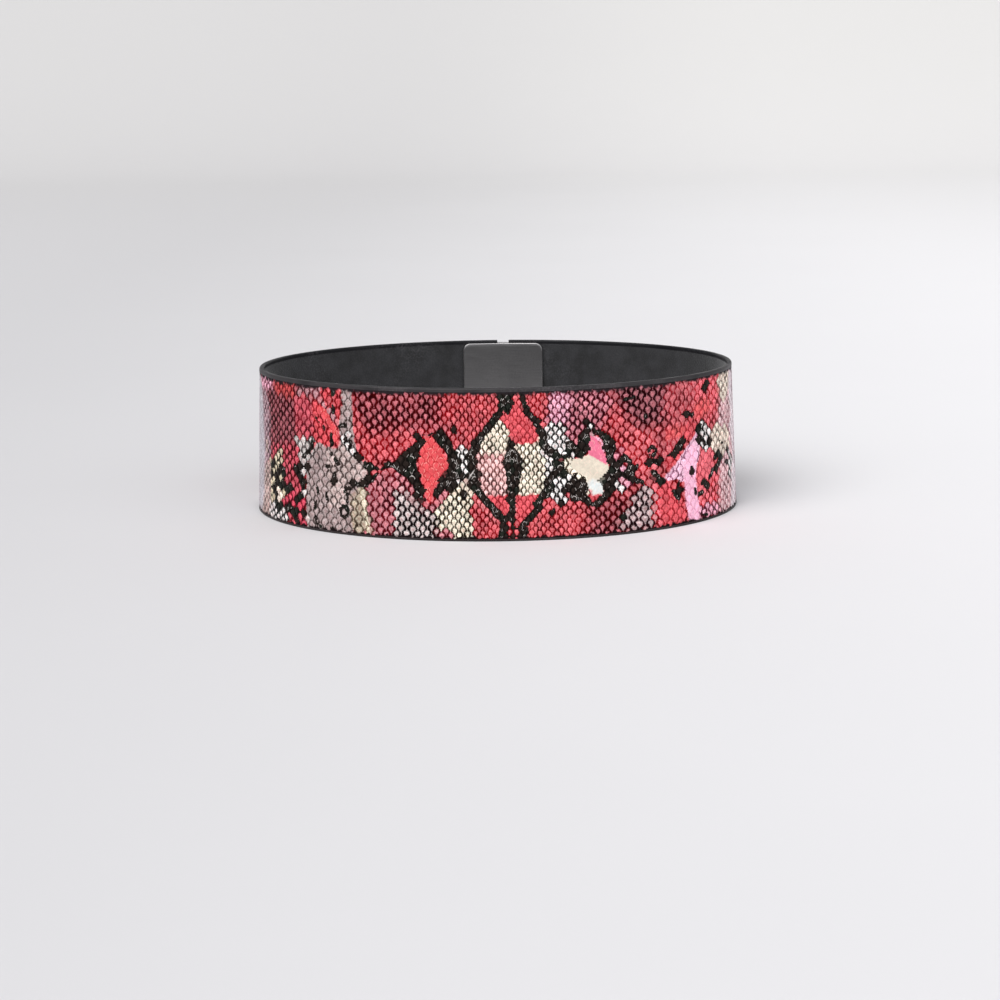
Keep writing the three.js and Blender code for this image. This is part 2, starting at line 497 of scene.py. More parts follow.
# outlines of each ink in one repeat: mm along the belt and mm up
inkOutlines = {
    "lightRed": [
        [(70, 52), (90, 51), (94, 44), (88, 34), (88, 22), (78, 26), (74, 36), (68, 44)],
    ],
    "midRed": [
        [(22, 20), (28, 18), (50, 16), (52, 11), (46, 6), (46, -4), (18, -4), (19, 10)],
    ],
    "pinkRed": [
        [(40, 78), (60, 78), (63, 66), (60, 58), (53, 48), (38, 46), (36, 60)],
    ],
    "softRed": [
        [(92, 80), (118, 80), (120, 62), (113, 52), (104, 50), (96, 52), (90, 60)],
        [(87, 46), (96, 52), (106, 48), (108, 43), (96, 34), (92, 30), (88, 34)],
    ],
    "fineRed": [
        [(112, 80), (142, 80), (140, 56), (134, 48), (122, 50), (114, 54)],
        [(126, 36), (138, 28), (138, 8), (131, 4), (114, 8), (114, 18)],
        [(84, 24), (92, 24), (92, 1), (84, 1)],
    ],
    "dusk": [
        [(61, 80), (64, 66), (70, 60), (74, 54), (80, 51), (90, 52), (94, 60), (94, 80)],
    ],
    "maroon": [
        [(-140, 72), (-126, 70), (-116, 70), (-105, 69), (-104, 56), (-105, 44), (-110, 38), (-116, 34),
         (-124, 34), (-129, 31), (-140, 30)],
    ],
    "deepRed": [
        [(-119, 40), (-112, 42), (-104, 42), (-100, 34), (-98, 14), (-98, 1), (-119, 1)],
        [(-130, 40), (-118, 40), (-118, 24), (-130, 28)],
    ],
    "darkNet": [
        [(-68.5, 80), (-68, 62), (-60, 52), (-48, 53), (-36, 58), (-28, 56), (-22, 62), (-24, 80)],
        [(50, 15), (60, 18), (72, 20), (68, 8), (66, -6), (50, -6)],
        [(-42, 53), (-30, 54), (-26, 54), (-18, 54), (-12, 50), (-15, 56), (-28, 60), (-40, 58)],
    ],
    "rose": [
        [(-63, 27), (-57, 30), (-53, 33), (-49, 32), (-44, 24), (-44, 16), (-43, 10), (-44, -5),
         (-63, -5)],
        [(-50, 34), (-44, 34), (-39, 31), (-35, 25), (-32, 20), (-29, 17), (-25, 20), (-21, 27),
         (-16, 23), (-20, 14), (-25, 11), (-30, 11.5), (-34, 14), (-38, 18), (-42, 22), (-49, 25)],
        [(-25, 8), (-16, 8), (-15, -4), (-25, -4)],
    ],
    "orangeNet": [
        [(-127, 74), (-106, 74), (-104, 68), (-112, 65), (-124, 66)],
    ],
    "emberRed": [
        [(92, 49), (98, 51.5), (106, 50), (104, 46.4), (96, 44), (92, 45)],
        [(112, 60), (120, 64), (127, 61), (127, 55), (120, 52), (113, 53)],
    ],
    "roseRed": [
        [(-118, 18), (-104, 18), (-98, 14), (-98, 1), (-101, 1), (-103, 9), (-118, 11)],
    ],
    "rubyNet": [
        [(-107, 66), (-106, 50), (-100, 46.5), (-93, 45), (-91, 52), (-92, 61), (-96, 66.5)],
        [(-107, 74), (-106, 70), (-100, 68), (-96, 70), (-92, 74)],
    ],
    "greyRose": [
        [(-107, 74), (-104, 67), (-96, 67), (-89, 66), (-84, 61), (-80, 55), (-77.5, 55), (-78, 60),
         (-83, 65), (-88, 74)],
    ],
    "oliveGrey": [
        [(-73, 20), (-66, 26), (-61, 25), (-59, 1), (-69, 1), (-72, 8)],
    ],
    "dustyPink": [
        [(134, 58), (148, 61), (152, 80), (168, 80), (168, -6), (132, -6), (133, 28), (138, 36),
         (133, 47)],
    ],
    "taupe": [
        [(-97.5, 0), (-98.5, 12), (-98, 26), (-98, 33), (-94, 40), (-90, 46), (-84, 44.5), (-80, 42.5),
         (-76, 45), (-76.5, 56), (-75.5, 64), (-75.5, 74), (-69, 74), (-68.5, 56), (-67.5, 46), (-64, 39),
         (-61, 34), (-61.5, 27), (-66, 24), (-71, 20), (-70, 8), (-68, 0)],
    ],
    "paleTaupe": [
        [(-84, 43), (-80, 42), (-76, 45), (-72, 44), (-68, 43), (-64, 38), (-61, 34), (-61.5, 27),
         (-66, 24), (-71, 20), (-71, 12), (-83, 12)],
    ],
    "coralNet": [
        [(6, 60.5), (9, 62.5), (12, 62), (13.5, 69), (16, 67), (19, 62), (22, 56.5), (27, 51), (24, 48.4),
         (18, 47.6), (14, 49.4), (12, 52.6), (10, 57)],
        [(-3, 25), (0, 22.8), (11.5, 23.2), (11.5, 10), (7, 12), (3, 16.5), (-1, 21)],
        [(14, 22.5), (27, 23), (23, 15), (17, 9), (14, 11)],
        [(49, 22), (58.5, 22), (56, 17), (50.5, 17)],
        [(88, 24), (94, 24), (98, 20), (103, 14), (104.8, 6), (104.4, 1), (90, 1), (88, 10)],
        [(103, 49), (110, 53), (115, 50), (115, 45), (108, 42)],
        [(91, 34), (98, 38), (104, 39), (102, 35), (94, 29)],
    ],
    "mottledRed": [
        [(-94, 66), (-93, 46), (-84, 44), (-77, 43), (-76, 48), (-79, 54), (-83, 59), (-88, 65)],
        [(-90, 74), (-87, 67), (-83, 62), (-81.5, 74)],
        [(-79, 74), (-79, 60), (-76.5, 58), (-75.5, 66), (-76, 74)],
    ],
    "coral": [
        [(-91, 63.4), (-88, 64), (-83, 59.6), (-79, 54), (-76.5, 49), (-78, 45.6), (-80.4, 49.4),
         (-82.6, 53.4), (-86.4, 58.6)],
        [(-29.5, 51), (-31, 47), (-33, 43), (-33.5, 38), (-33, 34), (-31.5, 29), (-30, 24), (-28.5, 18.5),
         (-27.5, 18.5), (-26, 23), (-24.5, 28), (-21.5, 32), (-18.5, 36.5), (-18.5, 39), (-21, 44),
         (-23.5, 47.5), (-26, 51)],
    ],
    "orange": [
        [(115, 34), (120, 37), (127, 36), (127, 29), (124, 23), (120, 17), (115, 14), (113, 20),
         (113, 28)],
    ],
    "smoke": [
        [(-148, 70), (-137, 66), (-132, 58), (-132, 44), (-130, 36), (-134, 28), (-140, 26), (-148, 30)],
    ],
    "lilacNet": [
        [(31, 74), (41, 74), (42, 66), (40, 58), (38, 52), (31, 53), (30, 60), (31, 66)],
        [(-146, 74), (-129, 74), (-129, 68), (-134, 66), (-142, 66), (-148, 69)],
        [(66, 43), (68, 41), (67, 38), (64, 38)],
        [(67, 37), (70.5, 36), (70, 31), (67, 31)],
        [(115, 8), (122, 8.5), (128, 8), (132, 6), (133, 1), (115, 1)],
        [(67, 28), (72, 29), (73, 25), (69, 23)],
    ],
    "lilacLines": [
        [(91, 26), (95, 29), (100, 33), (104, 37), (109, 42), (114, 46.5), (116.5, 44), (116.5, 38),
         (116, 34), (113, 29), (112.5, 24), (106, 24), (103, 22), (99, 24), (94, 24)],
    ],
    "lilac": [
        [(106, 36), (110, 40), (114, 40), (114, 34), (112, 29), (112.5, 20), (113.5, 13), (115, 8),
         (115, 1), (107, 1), (105.5, 10), (104.5, 17), (104, 22), (104, 30)],
        [(54, 50), (57, 48.5), (58.5, 45), (58.8, 41.5), (57.6, 42), (56.6, 46), (53.5, 49)],
    ],
    "grey": [
        [(-107, 46.5), (-104, 38), (-101, 35), (-100, 28), (-98, 27), (-97.5, 33), (-94, 39), (-92, 44.5),
         (-96, 47)],
        [(-101, 24), (-98, 26), (-97.5, 12), (-97.5, 1), (-99, 1), (-98.5, 12)],
    ],
    "wedge": [
        [(78, 25), (74, 20), (71, 14), (66, 6), (66, 1), (84, 1), (86, 8), (86, 16), (83, 23)],
    ],
    "silver": [
        [(-47, -4), (-46.5, 10), (-46.5, 18), (-46, 25), (-41, 24), (-36, 20), (-33, 16.5), (-30, 14),
         (-27, 13), (-24, 8), (-23.5, -4)],
    ],
    "white": [
        [(-13.4, 46.6), (-8, 47.4), (-7.4, 44), (-8.4, 32), (-14.6, 27.4), (-14.6, 40)],
        [(27, 52), (29, 56), (31, 58.4), (34, 57.6), (36.4, 58.6), (38.6, 56), (39.2, 51), (44.6, 47.6),
         (43.6, 41.6), (38, 40), (33, 41), (30, 43), (28.6, 50)],
        [(27.8, 44), (31.6, 43), (33, 38), (32.4, 29.6), (29.6, 30), (29.4, 36)],
        [(30, 26), (33, 31.6), (41.8, 31.2), (41, 26), (39.6, 20), (36, 18.4), (31.6, 18.8), (29.4, 22)],
        [(48.6, 57), (51.6, 58.4), (53.6, 54.6), (53, 50.4), (50.4, 50.2), (49.2, 53.4)],
        [(63.2, 29), (66.8, 28.8), (69.2, 25), (69.2, 21.4), (66, 20.8), (63.6, 22.2)],
        [(114, 51), (120, 51), (126, 46), (126, 39), (121, 37), (116, 38.5)],
        [(144, 32), (150, 32), (153, 26), (152, 16), (145, 18)],
        [(-134, 11), (-125, 11), (-117, 10), (-112, 5), (-112, 0), (-134, 0)],
        [(-76, 53), (-71.5, 53), (-71, 47), (-68, 43), (-67, 39), (-73, 43), (-76, 46)],
    ],
    "olive": [
        [(-133.5, 31), (-125, 33), (-123, 39), (-119, 39), (-117, 30), (-115, 22), (-116, 12), (-122, 10),
         (-133.5, 10)],
    ],
    "paleCream": [
        [(126, 44), (131, 48), (137, 46), (144, 44), (150, 38), (146, 32), (138, 31), (131, 34),
         (126, 37)],
        [(136, 78), (150, 78), (152, 66), (146, 59), (138, 57.5), (135, 66)],
        [(-126, 17), (-122, 18), (-118.5, 14), (-120, 10), (-126, 12)],
    ],
    "blush": [
        [(-12, 43), (-12, 35), (-9, 29), (-4.5, 24), (0, 18.5), (4, 14), (14, 14), (14, 32), (12, 43),
         (4, 43), (-4, 43)],
    ],
    "cream": [
        [(6.5, 60), (2, 55), (-1, 51), (-4, 47), (-7, 42), (3, 43), (10, 41.5), (12, 46), (11, 56)],
        [(12, 51), (14.5, 48.4), (18, 47.2), (21, 47.6), (24.5, 49.5), (27, 51), (29.6, 46.4), (32.4, 42),
         (33.4, 36), (32.4, 28), (29.5, 22.5), (22, 22), (13.5, 22.5), (13.5, 31), (15, 37), (13, 44)],
        [(37.6, 41.4), (43, 42), (45, 39), (44.6, 35), (42.6, 32), (41.6, 30.4), (39.4, 30.4),
         (38.2, 33)],
        [(38, 41), (46, 39), (50, 32), (51, 21), (46, 22), (41, 27), (38, 32)],
    ],
    "ivory": [
        [(-7, 26), (-8, 12), (-6.5, 4), (-7, -4), (-16.5, -4), (-17.5, 6), (-24.5, 6.5), (-26, 12),
         (-22, 16), (-19, 20), (-16, 25), (-14, 32), (-9, 32)],
    ],
    "paleEdge": [
        [(-65.5, 24), (-62.6, 25), (-61, 15), (-59, 2), (-60.8, 2), (-63, 14)],
    ],
    "beige": [
        [(51, 41.5), (46, 40), (41, 38), (41.5, 34.5), (45, 33), (49, 30), (49.5, 25), (53, 21.5),
         (58, 21), (58.5, 27), (61, 32), (60.5, 36), (56, 39), (53, 42)],
    ],
    "frost": [
        [(50.4, 28.4), (54, 28), (57.6, 26.6), (58.4, 21), (53, 21.6), (50, 25)],
    ],
    "sand": [
        [(-131, 30), (-130.5, 20), (-131, 10), (-131.5, 1), (-150, 1), (-148, 5), (-142, 9), (-141.5, 20),
         (-138, 29)],
        [(-137.5, 41), (-134.5, 41), (-134, 34), (-137.5, 34)],
    ],
    "hotPink": [
        [(50.5, 51), (50, 44), (50.5, 41), (55, 38.5), (60, 35), (60, 38.5), (57.8, 42), (56, 47),
         (53.4, 49.6)],
    ],
    # painted sheen where the belt turns away, at the ends of the repeat
    "paintedSheenLeft": [
        [(-170, 80), (-150, 74), (-146, 66), (-142.5, 58), (-141, 46), (-139, 36), (-139.6, 28),
         (-140, 20), (-140.4, 12), (-144, 3), (-170, -6)],
    ],
    "paintedSheenRight": [
        [(170, 80), (153, 74), (150, 66), (150, 58), (153, 50), (149, 44), (153, 36), (155, 26),
         (150, 18), (149, 10), (147, 1), (170, -6)],
    ],
    "paintedSheenEnds": [
        [(-180, 84), (-155, 84), (-160, 66), (-156, 48), (-162, 30), (-157, 12), (-160, -10),
         (-180, -10)],
        [(180, 84), (162, 84), (158, 64), (164, 46), (158, 30), (163, 12), (157, -10), (180, -10)],
    ],
}

# the black motif: outlines, and strokes as (along, up, width) points
blackOutlines = [
    [(-31, 50), (-34, 48.5), (-37, 46), (-40, 42), (-44, 38.5), (-44, 35.5), (-40, 32), (-37.5, 28),
     (-36, 24.5), (-34.5, 21), (-31, 19.5), (-30.4, 22), (-31.5, 27), (-33, 32), (-33.8, 37), (-33.2, 42),
     (-31, 47)],
    [(-25.6, 50.5), (-25.6, 53.4), (-22, 53.8), (-18.5, 50.5), (-15.5, 46.5), (-13.2, 42.5),
     (-12.6, 38.5), (-9.5, 36), (-5, 35), (-6, 29.5), (-9, 31), (-12, 32), (-14, 28), (-17, 24.5),
     (-19.5, 24.5), (-21, 27), (-22.5, 23), (-24, 20.5), (-26.2, 21), (-25.6, 26), (-23.6, 29),
     (-20.5, 32), (-18.5, 35.5), (-18.3, 38.5), (-19.8, 43), (-22.4, 47)],
    [(5.5, 74), (6, 69), (8.5, 64), (11, 61.5), (13, 64), (13.8, 69), (13.5, 74)],
    [(10.8, 52.5), (10.4, 46), (8.6, 42), (8.4, 37), (9.6, 33), (9.8, 29), (10.4, 24), (14.6, 24),
     (16, 28), (16.8, 32), (18.2, 36), (18.4, 40), (16, 43.5), (13.6, 46.5), (12.4, 52)],
    [(26, 51.5), (29.4, 50.6), (30.6, 47.4), (32.6, 45.6), (35.6, 45), (36.2, 42.6), (37.6, 41.4),
     (41, 43.4), (41.2, 39.8), (38, 38.6), (36.4, 39.4), (33, 39.2), (31.6, 40.6), (29.6, 41.4),
     (27.6, 44.2), (26, 47.4)],
    [(31.2, 38.6), (33, 40.2), (36, 39.8), (38.4, 37.4), (38.2, 34.6), (39.6, 32.6), (39.8, 29.2),
     (36.6, 29.2), (35, 31), (33.2, 29.2), (33.6, 26.4), (31.8, 25.8), (30, 28.4), (31.2, 31.6),
     (31, 35)],
    [(28.6, 31.4), (31.6, 31), (33.2, 28.4), (31.8, 25), (31.4, 22), (29.6, 20), (26.4, 19.6),
     (25.2, 22.6), (27.4, 25.4), (28, 28.4)],
    [(38.4, 45), (39.2, 48), (42.6, 48.8), (44.4, 47), (45.2, 50.2), (47, 52.6), (50.4, 52.8),
     (51.6, 50.4), (50.6, 46), (50.2, 42), (48.4, 40.4), (46.4, 38.6), (43.2, 40.6), (42.6, 43.4),
     (40.4, 43)],
    [(37, 27.4), (39.6, 28.8), (41.6, 29.6), (42.2, 32.8), (44.8, 32.6), (45.2, 30), (46.4, 30.8),
     (47.6, 28.8), (49.4, 27.6), (50, 24.6), (49.6, 21.4), (51.6, 19.4), (52.4, 16.4), (50.6, 15.2),
     (48.4, 17.4), (46, 18.2), (43.4, 18.4), (40.4, 19.8), (39.6, 22.6), (37.2, 23.8)],
    [(52.8, 52.4), (55.6, 53.4), (58.6, 50.6), (61.6, 47.8), (64.6, 45.2), (65, 41.4), (63.6, 38.8),
     (64.8, 37.2), (67.4, 37.6), (67, 39.8), (68.8, 40.8), (71.2, 38.8), (73, 37.2), (73.8, 34.8),
     (76.6, 35), (77.2, 31.8), (75, 30.6), (74.2, 27.2), (70.4, 26.2), (67.6, 28.4), (65.6, 29),
     (63.8, 27.6), (64.4, 23.6), (62.8, 21.4), (60, 20.6), (58.2, 18.4), (55, 15.4), (53.8, 18),
     (57.2, 20.6), (57, 24), (56.8, 27.8), (59.2, 30.4), (60.4, 33), (60.6, 35.6), (59.2, 38.6),
     (58.6, 42), (57.8, 45.8), (56, 49.4)],
    [(-15.6, 46), (-13.8, 44.4), (-12.2, 43), (-9.8, 43.4), (-8.6, 46.6), (-5.2, 44.6), (-4.6, 36),
     (-5, 27), (-9.5, 30.6), (-13, 31.4), (-17, 33)],
    [(97.6, 37.6), (100.4, 40.8), (103.2, 44.6), (105, 43.8), (104.4, 38.6), (101, 36.8)],
    [(96.8, 19), (98.8, 19.8), (100.6, 18.6), (102.4, 18.6), (101.8, 15), (101, 11.6), (99.8, 11.2),
     (99, 13.8), (97, 15.8)],
    [(4.5, 1), (6, 7), (8, 11), (13, 12), (13.5, 5), (13, 1)],
    [(15.5, 1), (15, 6), (17, 10), (20, 7), (20, 1)],
    [(-116, 10), (-108, 10.5), (-103, 9), (-104, 5.5), (-110, 6), (-114, 6)],
    [(-122, 31), (-117, 30), (-114, 29), (-114, 24), (-118, 24), (-121, 27)],
]
# parts where a share of the scales, picked at random, is black
blackSpeckles = [
    (0.30, [(-131, 31), (-122, 31), (-117, 26), (-116, 16), (-117, 2), (-132, 2)]),
    (0.15, [(-119, 36), (-102, 36), (-98, 24), (-98, 1), (-119, 1)]),
    (0.14, [(114, 50), (121, 51), (126, 46), (126, 38), (116, 38)]),
    (0.05, [(126, 44), (137, 47), (149, 38), (144, 30), (130, 34)]),
    (0.06, [(136, 73), (150, 73), (150, 66), (138, 58)]),
    (0.04, [(62, 73), (90, 73), (88, 56), (74, 54), (64, 64)]),
    (0.20, [(66, 8), (72, 14), (78, 6), (78, 1), (66, 1)]),
    (0.25, [(-104, 40), (-98, 40), (-97, 28), (-102, 28)]),
]
blackStrokes = [
    [(8.5, 66, 3.8), (5, 61, 3.6), (0, 54.5, 3.6), (-4, 48.5, 4.0), (-7, 43.5, 4.8), (-7.5, 38, 5.0)],
    [(-8.5, 34, 4.4), (-6, 28, 4.6), (-2, 22.5, 4.4), (2, 17.5, 4.2), (6, 12.5, 4.6), (9, 10, 4.0)],
    [(12.4, 26, 4.0), (12.4, 18, 3.4), (12.4, 10, 3.6)],
    [(17, 74, 3.2), (19, 67, 3.2), (22, 61.5, 3.4), (26, 55.5, 3.8), (28, 51, 4.8)],
    [(30, 26, 4.6), (26.5, 20, 3.8), (23.5, 14.5, 3.6), (20, 11, 3.8), (17.5, 8, 3.8)],
    [(-68.5, 27, 2.8), (-65, 25.5, 2.8), (-61.5, 26.5, 3.8), (-58, 29, 3.4), (-55, 32, 2.2)],
    [(-61, 36, 4.2), (-58, 35.2, 4.0), (-54.5, 34.4, 1.6)],
    [(-52.5, 34, 2.0), (-50, 36, 3.6), (-47.5, 37.3, 3.8), (-44, 35.5, 4.2), (-40.5, 33.5, 4.6)],
    [(-36, 50.5, 1.2), (-33, 52.5, 1.4), (-28, 52.3, 1.4), (-24, 54, 1.6)],
    [(-15.5, 55, 2.4), (-14.5, 52.5, 2.0)],
    [(-22, 29, 3.2), (-15, 32, 4.6), (-10, 33.4, 5.4), (-5.6, 33, 4.6)],
    [(-10.4, 24.4, 2.6), (-11.2, 21.6, 3.2)],
    [(-76, 54.4, 2.5), (-72.5, 54.6, 3.1)],
    [(-72.9, 48, 2.5)],
    [(-70, 47, 2.6), (-69.6, 43.5, 3.4), (-68, 41, 2.8), (-65.5, 40, 2.0)],
    [(-100, 37, 2.9), (-97, 39, 2.9), (-94, 42, 2.9), (-93.6, 46.5, 1.5)],
    [(-98.6, 32, 3.9)],
    [(-96, 28.6, 1.9)],
    [(-101.6, 24, 4.0), (-100.4, 21, 4.0)],
    [(-112.6, 19.4, 3.2), (-110.6, 20.4, 4.0), (-108.6, 19, 3.0)],
    [(-106.6, 31, 3.0), (-105.8, 28.4, 3.4)],
    [(49.5, 57.5, 2.0), (53, 55.5, 2.0), (53.4, 51.5, 2.6)],
    [(51.5, 16.6, 3.0), (55, 16.8, 2.8), (58, 19.5, 3.2)],
    [(36.1, 18.7, 3.0)],
    [(31.2, 13.6, 2.6), (32.6, 15, 1.8)],
    [(82.8, 40.5, 2.3), (84.6, 42.2, 2.1), (86.8, 40.8, 2.3), (86, 38.2, 2.7), (83.6, 38.2, 2.5)],
    [(82.6, 35.4, 3.3), (86, 34.6, 3.9), (88.6, 33, 2.9)],
    [(82.6, 30.6, 2.5), (86.2, 28.6, 4.1), (88.6, 26, 3.3), (91, 24, 3.9)],
    [(75.4, 26.4, 3.2), (78.6, 25, 3.2)],
    [(93.6, 36.6, 1.7), (98, 37.6, 2.5), (101, 41.4, 3.4), (104.4, 45.0, 2.0)],
    [(101.4, 38.2, 2.4), (104.6, 38.8, 1.8)],
    [(97, 18.6, 2.2), (99.4, 17.2, 3.6), (101, 14, 2.2)],
    [(100.4, 23.4, 1.9), (100, 20, 2.3)],
    [(103.4, 18.6, 2.7)],
    [(109.6, 29, 1.9), (109.0, 26, 2.7)],
    [(111.2, 17.4, 2.3), (112, 15, 2.7)],
    [(107.6, 56, 2.7), (111, 55.4, 3.3)],
    [(114.4, 48.6, 1.8), (117.4, 49.4, 1.8), (117, 45, 2.0), (117.6, 41.6, 2.6), (121, 38.6, 2.4),
     (126, 37.8, 2.0)],
    [(114.6, 14, 3.1), (117.4, 15, 2.9)],
    [(118.6, 20, 3.7), (121.6, 17.6, 3.5)],
    [(123.4, 21.6, 3.3), (126.4, 24.6, 3.5)],
    [(127.8, 25.2, 3.3), (131, 25.8, 3.9), (133, 28.6, 2.7)],
    [(129.2, 31, 3.3), (133, 32.2, 4.9), (135.6, 30.4, 2.9)],
    [(140, 27, 2.5), (144, 25.8, 3.1)],
    [(120.6, 67, 2.0), (124.6, 70.4, 2.2), (122.4, 64.6, 1.8)],
    [(144.6, 69.4, 2.9)],
    [(134.6, 38.6, 1.5), (138.4, 36.4, 1.5)],
    [(70, 66.5, 2.4), (75, 67.4, 2.0)],
    [(81.4, 57.6, 3.2)],
    [(117, 3.4, 1.5), (121.4, 3.0, 1.4)],
    [(107, 1.6, 2.3), (110, 2.4, 1.7)],
]
# small marks on the taupe, as strokes
taupeMarks = [
    [(-80.3, 73, 2.7), (-80.2, 69.4, 2.3)],
    [(-80.4, 64, 1.5), (-80, 61.4, 2.7)],
    [(-81.3, 49, 2.3), (-81.2, 45, 2.7)],
    [(-81.3, 40, 2.4)],
    [(-79.4, 37.8, 1.6), (-77.3, 35.6, 2.6)],
    [(-84.8, 33.4, 1.6), (-83.1, 33.6, 2.2)],
    [(-79.4, 30.8, 1.8), (-79.9, 26, 2.6)],
    [(-90.4, 21.4, 1.3), (-90, 18.5, 1.3)],
    [(-84.8, 20, 1.4), (-84.2, 17, 2.6)],
    [(-91.8, 14.6, 1.8), (-92, 11.2, 2.2)],
    [(-91.8, 7, 1.4), (-91.2, 4, 1.6)],
    [(-76.2, 12.5, 1.8), (-75.4, 9.4, 1.8), (-73.2, 8.9, 1.6), (-71.5, 11, 2.2), (-72.4, 14, 2.2),
     (-74.8, 14.4, 1.8)],
    [(-73.6, 21.6, 1.4), (-72.4, 23.4, 1.8), (-70.4, 23.6, 1.6)],
    [(-71.9, 20.6, 1.4), (-72, 17.2, 2.2)],
    [(-88.5, 2.4, 1.6)],
    [(-80.6, 2.0, 2.6)],
    [(-90.8, 57, 1.7), (-89.4, 55, 1.5)],
    [(-86.4, 53.5, 1.9), (-85.8, 51.5, 1.7)],
]
# light scales that stay open in the black, with how far round them it stays away
openScales = [
    (-8.8, 46.4, 1.3), (-10.6, 44.4, 1.4), (-12.4, 42, 1.5), (-10.8, 39.4, 1.6), (-10.9, 37, 1.2),
    (-11.2, 35, 1.6), (-13.2, 29, 1.7), (36.2, 27.2, 1.8), (37.4, 44.4, 1.8), (68.7, 33.7, 1.9),
    (65.8, 40.5, 1.8), (65.1, 25.8, 1.8), (67.8, 22.8, 1.8), (10, 8, 1.6), (11, 4, 1.8), (14.5, 7, 1.6),
    (-73.4, 51, 1.6), (-69.2, 42.2, 1.2), (-121.3, 34, 1.8), (51, 54.4, 1.6), (118.9, 45, 1.8),
    (121.7, 42.4, 1.8), (30.6, 36, 1.8),
]
# a few thin light lines over the black
lightLines = [
    [(-9.6, 35.2, 0.3), (-7.4, 32.7, 0.6), (-5.4, 29.6, 0.3)],
    [(-9.4, 29.6, 0.3), (-7.4, 32.7, 0.6), (-5.4, 36.0, 0.3)],
    [(30.8, 26.8, 0.4), (33.8, 22.2, 0.4)],
    [(36, 30.4, 0.3), (38.2, 27.4, 0.3)],
]


def insideOutline(along, up, outline):
    # Distance in mm to a closed outline, above 0 inside it: the nearest point of each side gives the size,
    # and an even-odd count of the sides crossed gives the sign.
    corners = np.array(outline, float)
    inside = np.zeros(along.shape, bool)
    nearest = np.full(along.shape, 1e9)
    for (x0, y0), (x1, y1) in zip(corners, np.roll(corners, -1, axis=0)):
        dx, dy = x1 - x0, y1 - y0
        t = np.clip(((along - x0) * dx + (up - y0) * dy) / (dx * dx + dy * dy), 0, 1)
        nearest = np.minimum(nearest, np.hypot(along - x0 - t * dx, up - y0 - t * dy))
        if dy:
            inside ^= ((y0 > up) != (y1 > up)) & (along < x0 + (up - y0) * dx / dy)
    return np.where(inside, nearest, -nearest)


def insideStroke(along, up, stroke):
    # Half the stroke's width at its nearest point, less the distance there, in mm.
    points = np.array(stroke if len(stroke) > 1 else stroke * 2, float)
    best = np.full(along.shape, -1e9)
    for (x0, y0, w0), (x1, y1, w1) in zip(points[:-1], points[1:]):
        dx, dy = x1 - x0, y1 - y0
        t = np.clip(((along - x0) * dx + (up - y0) * dy) / max(dx * dx + dy * dy, 1e-6), 0, 1)
        away = np.hypot(along - x0 - t * dx, up - y0 - t * dy)
        best = np.maximum(best, (w0 + (w1 - w0) * t) / 2 - away)
    return best


def inkField(along, up, outlines=(), strokes=(), openScales=()):
    # The furthest inside of any outline or stroke, and never nearer to an open scale than its radius.
    fields = [insideOutline(along, up, outline) for outline in outlines]
    fields += [insideStroke(along, up, stroke) for stroke in strokes]
    field = np.max(fields, axis=0)
    for x, y, radius in openScales:
        field = np.minimum(field, np.hypot(along - x, up - y) - radius)
    return field


farOutside = -9.0  # mm, for what an ink never reaches


def wrapRepeat(along):
    # the place within one repeat of the print, from its middle
    return along - np.floor(along / printRepeat + 0.5) * printRepeat


def saveField(mesh, name, domain, values):
    # one number for each point or face, for the shader to read
    layer = mesh.attributes.new(name=name, type="FLOAT", domain=domain)
    layer.data.foreach_set("value", values.astype(np.float32))


def scatter(a, b, seed):
    # a repeatable number from 0 to 1 for each scale: the fraction of a large sine
    return np.mod(np.sin(a * 127.1 + b * 311.7 + seed * 74.7) * 43758.5453, 1.0)


printStrip = {
    "stations": 960,
    "rows": 80,
    "low": layersLow,
    "high": layersHigh,
    "relief": 0.20,   # how deep the net is pressed in
    "curl": 0.04,     # how far rows sink between columns, in rows
    # whole scales are black from so many mm inside an outline, a stroke or one of the taupe's marks
    "blackFrom": {"outline": 0.3, "stroke": 0.4, "mark": 0.9},
    "blackJitter": {"outline": 0.8, "stroke": 0.7, "mark": 0.8},
    "markSpread": 0.35,
    # noises, in waves to a metre
    "waves": {"coarse": 420.0, "fine": 1500.0, "drift": 170.0, "mottle": 950.0, "paler": 620.0,
              "glint": 420.0},
    "ragged": (3.2, 1.6),             # mm that inks stray at their edges, in coarse and in fine waves
    "uneven": (0.14, 0.30, 0.6),      # how scales differ in size: singly, by drift and by fine waves
    "onScale": (-0.10, 0.20),         # half columns over which a scale fades into its gap
    "deepGap": (-0.45, -0.15),
    "tone": (0.82, 1.12),             # the darkest and the lightest scale
    "mottle": (1.22, 0.76),
    "core": 0.36,                     # how much deeper in colour a scale's middle is
    "brokenLine": (255, 214, 200),    # the net on the flat inks
    "lineWidth": (0.01, 0.08),        # the light lines between black scales
    "topMargin": (70.9, 72.7),        # mm up between which the dark band sets in: the print's darker rim with painted shade below the top edge
    "topMarginColour": (38, 32, 35),
    "foot": (2.4, 1.4),
    "footColour": (24, 16, 18),
    "marginWaver": 5.0,
    "rough": (0.50, 0.34),            # in the net and on the scales
    "coat": 0.08,
    "rubbed": 0.35,
    "bumpDepth": 0.00028,
}


